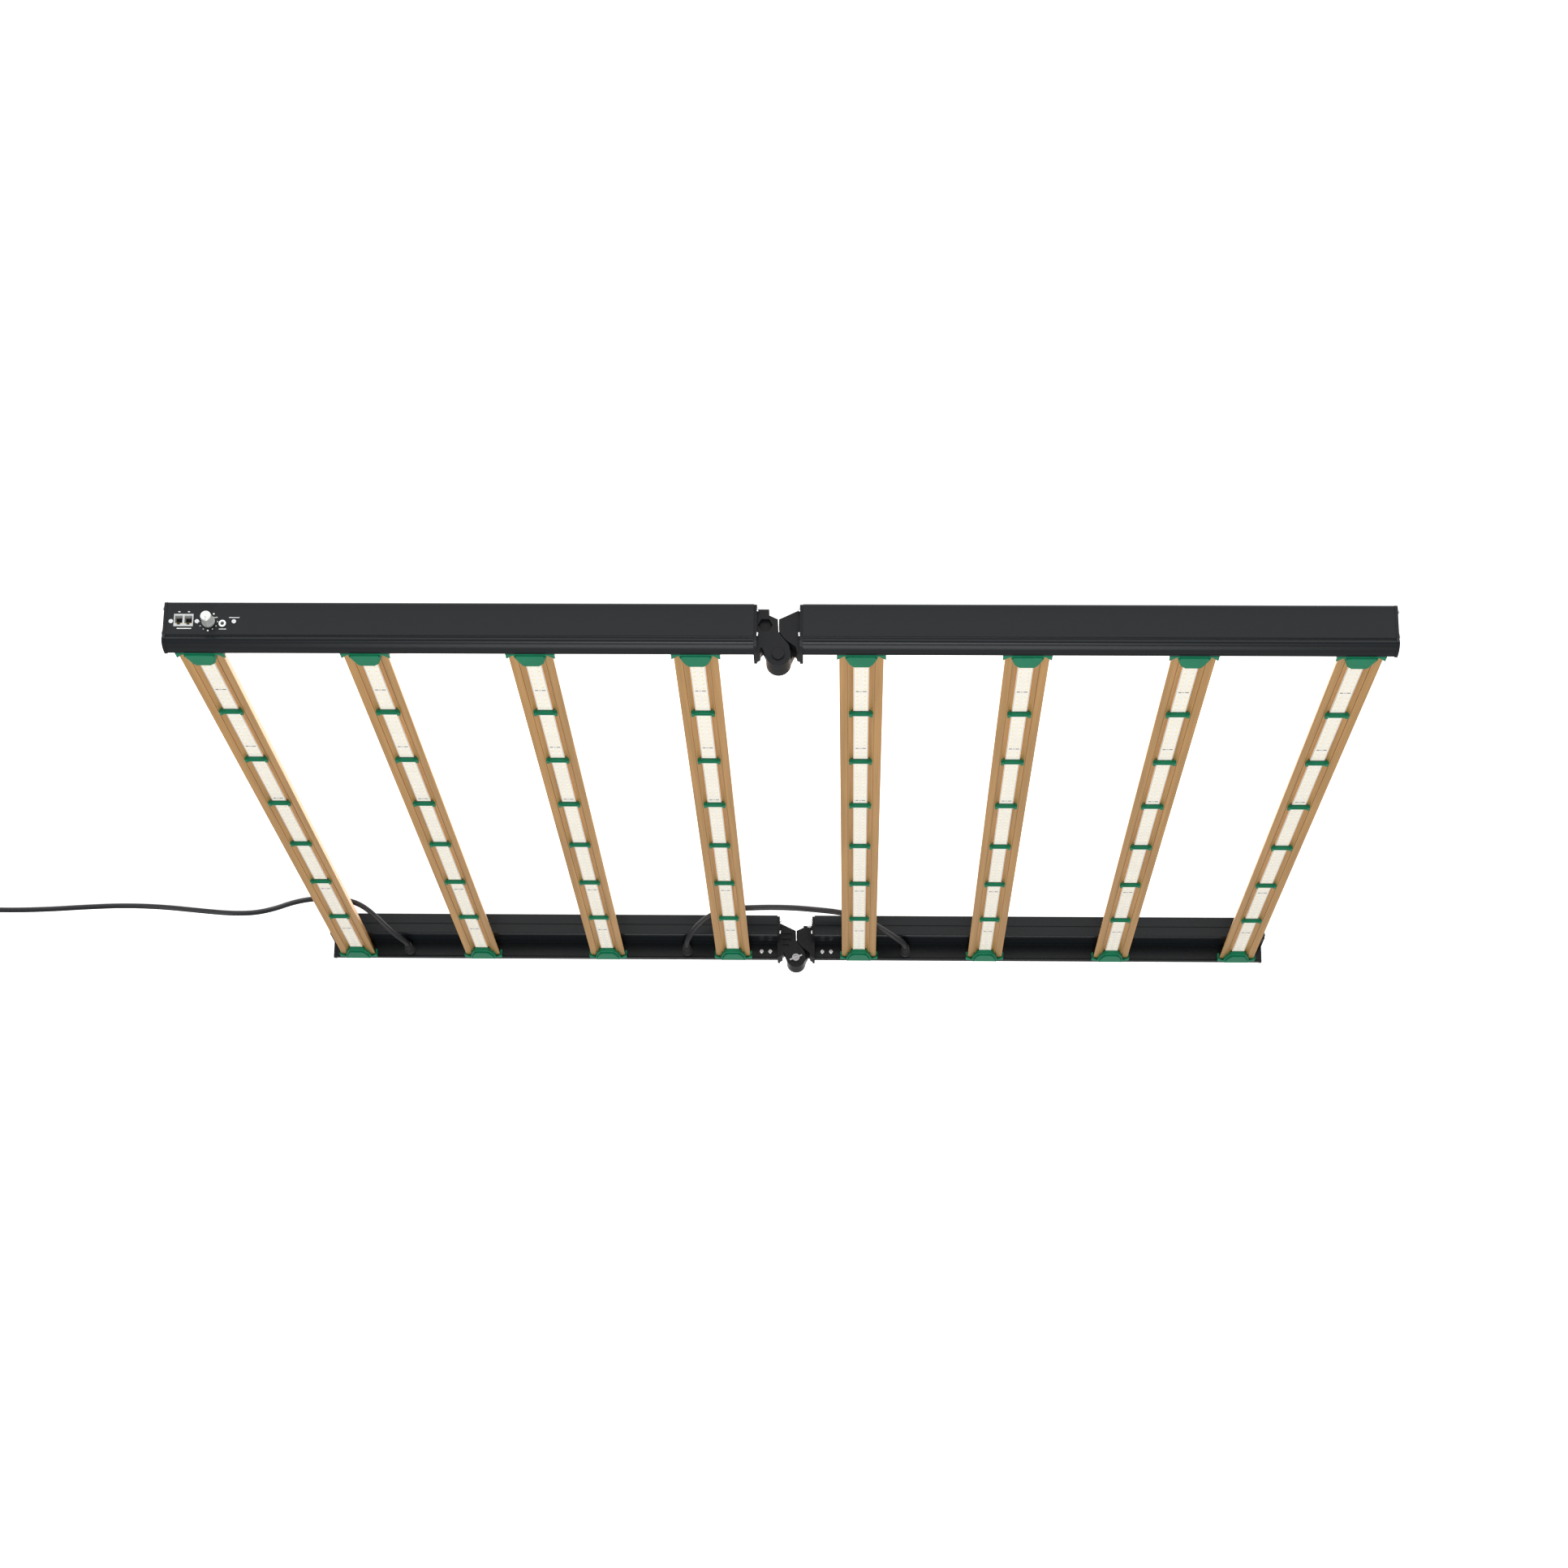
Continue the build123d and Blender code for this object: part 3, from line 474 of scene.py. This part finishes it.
# ---- light bars -----------------------------------------------------------------------------
CLIP_PITCH, CLIPS = 0.1433, 6
CLIP_BOXES = [  # (from, to) across the bar, half its width, (bottom, top) from the clip's top
    ((-0.0105, 0.0105), 0.0032, (-0.0030, 0)),  # the bridge
    ((-0.0090, 0.0090), 0.0011, (-0.0001, 0.0006)),  # its ridge
    ((-0.0119, -0.0088), 0.0042, (-0.0038, 0.0008)),  # the catches
    ((0.0088, 0.0119), 0.0042, (-0.0038, 0.0008)),
]
CLIP_BEVEL, CAP_BEVEL = 0.0005, 0.0006

LED_PITCH, LED_ROWS = 0.0109, (-0.0037, 0.0037)
LED_W, LED_H = 0.0030, 0.0007
LED_MARGIN = 0.025  # a board's bare end
CLIP_CLEAR, MARK_CLEAR = 0.0065, 0.0045  # no LED's middle is nearer than this
DOME_SUNK = 0.0001
DOME = [(0, LED_W / 2 * 0.8), (0.0002, LED_W / 2 * 0.74)]  # (height, radius)

MARKS_Y = (0.083, 0.250, 0.416)
MARK_BARS = ((-0.0054, -0.0016, 0.0010), (-0.0009, 0.0016, 0.0005), (0.0022, 0.0052, 0.0011))
MARK_THICK = 0.00012
BORDER_IN, BORDER_W, BORDER_END, BORDER_THICK = 0.0004, 0.0003, 0.03, 0.00008

# an end cap: X is from its bar's middle, depth is inwards from the bar's end
PAD_OUTLINE = [(-0.0165, 0), (0.0165, 0), (0.0155, 0.0090), (0.0112, 0.0250), (0.0085, 0.0290),
               (-0.0085, 0.0290), (-0.0112, 0.0250), (-0.0155, 0.0090)]  # (X, depth)
PAD_Z, CROWN_Z = (0.0422, 0.0472), (0.0470, 0.0494)
CROWN_WIDE, CROWN_DEEP, CROWN_START = 0.84, 0.86, 0.0010  # the crown is a smaller pad
YOKE_REACH, YOKE_DEPTH, YOKE_Z = 0.0234, 0.0030, (0.0450, 0.0474)
CHEEK_X, CHEEK_DEPTH, CHEEK_Z = (0.0213, 0.0236), 0.0085, (0.0385, 0.0468)
WEB_OUTLINE, WEB_Z = [(0.0236, 0), (0.0140, 0), (0.0236, 0.0125)], (0.0448, 0.0472)
GUSSET_X, GUSSET_OUTLINE = (0.0132, 0.0148), [(0.002, 0.0440), (0.002, 0.0500), (0.018, 0.0440)]


def clip_places():
    return [MIDDLE_Y + (i - (CLIPS - 1) / 2) * CLIP_PITCH for i in range(CLIPS)]


def mark_places():
    return [MIDDLE_Y + s * y for y in MARKS_Y for s in (-1, 1)]


def leds(number, body):
    """Two rows of LED packages on a board, left out under the clips and at its marks."""
    low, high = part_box(f"led_board_{number}")
    x, z = middle(f"led_board_{number}")[0], high.z
    kept_clear = [(y, CLIP_CLEAR) for y in clip_places()]
    kept_clear += [(y, MARK_CLEAR) for y in mark_places()]
    count = int((high.y - low.y - 2 * LED_MARGIN) / LED_PITCH)
    half = LED_W / 2
    shape = Shape()
    for i in range(count):
        y = MIDDLE_Y + (i - (count - 1) / 2) * LED_PITCH
        if any(abs(y - place) < room for place, room in kept_clear):
            continue
        for row in LED_ROWS:
            shape.index = 0
            shape.box((x + row - half, y - half, z), (x + row + half, y + half, z + LED_H))
            shape.index = 1
            shape.turned((x + row, y, z + LED_H - DOME_SUNK), (0, 0, 1), DOME, around=10)
    shape.done(f"leds_{number}", body, [PACKAGE, PHOSPHOR])


def board_marks(number, body):
    """Short printed marks across a board, in place of its lettering, and a thin border line."""
    low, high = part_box(f"led_board_{number}")
    x, z = middle(f"led_board_{number}")[0], high.z
    shape = Shape()
    for y in mark_places():
        for left, right, tall in MARK_BARS:
            shape.box((x + left, y - tall, z), (x + right, y + tall, z + MARK_THICK))
    for side in (low.x + BORDER_IN, high.x - BORDER_IN - BORDER_W):
        shape.box((side, low.y + BORDER_END, z), (side + BORDER_W, high.y - BORDER_END, z + BORDER_THICK))
    shape.done(f"board_marks_{number}", body, [MARK])


def clips(half, body):
    """The bridges over the boards: a rounded bar with a ridge, and a catch on each wing."""
    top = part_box(f"board_clips_{half}")[1].z
    shape = Shape()
    for x in bars_of(half):
        for y in clip_places():
            for (left, right), wide, (bottom, crown) in CLIP_BOXES:
                shape.box((x + left, y - wide, top + bottom), (x + right, y + wide, top + crown))
    piece = shape.done(f"clips_{half}", body, [FINISH["clip_green"]], bevel=CLIP_BEVEL)
    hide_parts(f"board_clips_{half}")


def end_cap(shape, x, end, reach):
    """A yoke over the wings, a crowned pad on the trough and two gussets, at one end of a bar."""
    def at(depth):
        return MIDDLE_Y + end * (reach - depth)

    shape.prism([(x + u, at(v)) for u, v in PAD_OUTLINE], 2, *PAD_Z)
    crown = [(x + u * CROWN_WIDE, at(CROWN_START + v * CROWN_DEEP)) for u, v in PAD_OUTLINE]
    shape.prism(crown, 2, *CROWN_Z)
    back, front = sorted((at(0), at(YOKE_DEPTH)))
    shape.box((x - YOKE_REACH, back, YOKE_Z[0]), (x + YOKE_REACH, front, YOKE_Z[1]))
    back, front = sorted((at(0), at(CHEEK_DEPTH)))
    for side in (-1, 1):
        left, right = sorted(x + side * u for u in CHEEK_X)
        shape.box((left, back, CHEEK_Z[0]), (right, front, CHEEK_Z[1]))
        shape.prism([(x + side * u, at(v)) for u, v in WEB_OUTLINE], 2, *WEB_Z)
        left, right = sorted(x + side * u for u in GUSSET_X)
        shape.prism([(at(v), z) for v, z in GUSSET_OUTLINE], 0, left, right)


def end_caps(half, body):
    """A cap at each end of each bar."""
    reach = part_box(f"bar_end_caps_{half}")[1].y - MIDDLE_Y
    shape = Shape()
    for x in bars_of(half):
        for end in (-1, 1):
            end_cap(shape, x, end, reach)
    piece = shape.done(f"end_caps_{half}", body, [FINISH["clip_green"]], bevel=CAP_BEVEL)
    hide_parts(f"bar_end_caps_{half}")


# ---- control panel --------------------------------------------------------------------------
PANEL_IN = 0.002  # the panel's face, in from the rail's crest
INK_OUT, INK_IN = 0.00012, 0.0001  # the ink's thickness, out of the face and into it
SCALE_MARKS, SCALE_STEP = 11, 30  # degrees
SCALE_DOT, SCALE_BIG_DOT = (0.0088, 0.0004), (0.0092, 0.0007)  # (radius of the scale, half size)
SCALE_BIG_EVERY = 5
# (left, right, gap above the node, or below it if negative)
SOCKET_BARS = [(-0.0080, 0.0060, 0.0022), (-0.0056, -0.0036, -0.0024), (0.0036, 0.0056, -0.0024)]
JACK_BARS = [(-0.0160, -0.0060, -0.0022), (-0.0040, 0.0030, 0.0016), (0.0050, 0.0085, -0.0022)]
SOCKET_BAR_TALL, JACK_BAR_TALL = 0.0004, 0.0003  # half heights
PORT_X = 0.0046  # each port, from the sockets' middle
PORT_BACK = 0.0016
# painted shade: a thin near-black sheet at each port's back; half width, thickness, gap above the
# sockets' bottom and gap below their top
SHADE_SHEET_HALF, SHADE_SHEET_THICK, SHADE_SHEET_LOW, SHADE_SHEET_HIGH = 0.0036, 0.0002, 0.0019, 0.0031
CONTACTS, CONTACT_PITCH, CONTACT_HALF = 6, 0.0010, 0.0002
CONTACT_IN, CONTACT_Z = 0.0020, (0.0040, 0.0037)  # depth in, and how far below the sockets' top


def lettering(shape, node, bars, tall, outside, inside):
    """Short bars by a node, in place of its lettering."""
    low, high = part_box(node)
    x = middle(node)[0]
    for left, right, gap in bars:
        z = (high.z if gap > 0 else low.z) + gap
        shape.box((x + left, outside, z - tall), (x + right, inside, z + tall))


def panel_marks():
    """A scale round the knob and short bars in place of the lettering."""
    x, _, z = middle("dimmer_knob")
    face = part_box("front_rail_main")[0].y + PANEL_IN
    outside, inside = face - INK_OUT, face + INK_IN
    shape = Shape()
    for i in range(SCALE_MARKS):
        turn = math.radians(SCALE_STEP * (i + 1))
        out, size = SCALE_DOT if i % SCALE_BIG_EVERY else SCALE_BIG_DOT
        dot_x, dot_z = x + out * math.sin(turn), z - out * math.cos(turn)
        shape.box((dot_x - size, outside, dot_z - size), (dot_x + size, inside, dot_z + size))
    lettering(shape, "signal_sockets", SOCKET_BARS, SOCKET_BAR_TALL, outside, inside)
    lettering(shape, "sensor_jack", JACK_BARS, JACK_BAR_TALL, outside, inside)
    shape.done("panel_marks", "main_half", [INK])


def port_contacts():
    """The gold contacts inside the two signal ports, and a near-black sheet at each port's back, painted
    shade for its dark inside.
    """
    low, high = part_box("signal_sockets")
    back = high.y - PORT_BACK
    contact_low, contact_high = (high.z - z for z in CONTACT_Z)
    shape = Shape()
    for side in (-1, 1):
        x = middle("signal_sockets")[0] + side * PORT_X
        # painted shade: a near-black sheet at the port's back
        shape.index = 1
        shape.box((x - SHADE_SHEET_HALF, back - SHADE_SHEET_THICK, low.z + SHADE_SHEET_LOW),
                  (x + SHADE_SHEET_HALF, back, high.z - SHADE_SHEET_HIGH))
        shape.index = 0
        for i in range(CONTACTS):
            pin_x = x + (i - (CONTACTS - 1) / 2) * CONTACT_PITCH
            shape.box((pin_x - CONTACT_HALF, low.y + CONTACT_IN, contact_low),
                      (pin_x + CONTACT_HALF, back, contact_high))
    shape.done("port_contacts", "main_half", [FINISH["pin_brass"], PORT_SHADE])


# ---- studio ---------------------------------------------------------------------------------
FLOOR_SIZE, FLOOR_Z = 30.0, -0.0005
SKY = 0.45
LIGHTS = {  # (place, what it is aimed at, size, watts)
    "overhead": ((0, -0.1, 2.7), (0, 0, 0), 1.5, 31.0),
    "front": ((0, -2.5, 2.5), (0, -0.5, 0), 1.1, 46.0),
}


def area_light(name, place, target, size, watts):
    data = bpy.data.lights.new(name, "AREA")
    data.energy, data.size, data.shape = watts, size, "SQUARE"
    lamp = bpy.data.objects.new(name, data)
    lamp.location = place
    lamp.rotation_mode = "QUATERNION"
    lamp.rotation_quaternion = (Vector(target) - Vector(place)).to_track_quat("-Z", "Y")
    bpy.context.scene.collection.objects.link(lamp)


def floor():
    """A plain floor that glows enough to hide the shadows."""
    half = FLOOR_SIZE / 2
    data = bpy.data.meshes.new("floor")
    corners = [(-half, -half, 0), (half, -half, 0), (half, half, 0), (-half, half, 0)]
    data.from_pydata(corners, [], [(0, 1, 2, 3)])
    data.materials.append(material("floor_white", "f8f8f8", roughness=0.9, glow=1.0, specular=0.0))
    plane = bpy.data.objects.new("floor", data)
    bpy.context.scene.collection.objects.link(plane)
    plane.location.z = FLOOR_Z


def studio():
    scene = bpy.context.scene
    scene.view_settings.view_transform = "Standard"
    world = bpy.data.worlds.new("studio")
    scene.world = world
    world.use_nodes = True
    sky = world.node_tree.nodes["Background"]
    sky.inputs["Color"].default_value = (1, 1, 1, 1)
    sky.inputs["Strength"].default_value = SKY
    floor()
    for name, facts in LIGHTS.items():
        area_light(name, *facts)


# ---- put together ---------------------------------------------------------------------------
make_camera()
finish_nodes()
mains_relief = strain_relief("mains_relief", "mains_gland", "main_half")
mains_cord([frame["nodes"]["mains_plug"], frame["nodes"]["plug_pins"], tie(), mains_relief])
jumper_cord()
for half in HALVES:
    body = f"{half}_half"
    strain_relief(f"jumper_relief_{half}", f"jumper_gland_{half}", body)
    clips(half, body)
    end_caps(half, body)
for bar, half in BARS.items():
    number = bar[-1]
    leds(number, f"{half}_half")
    board_marks(number, f"{half}_half")
panel_marks()
port_contacts()
studio()
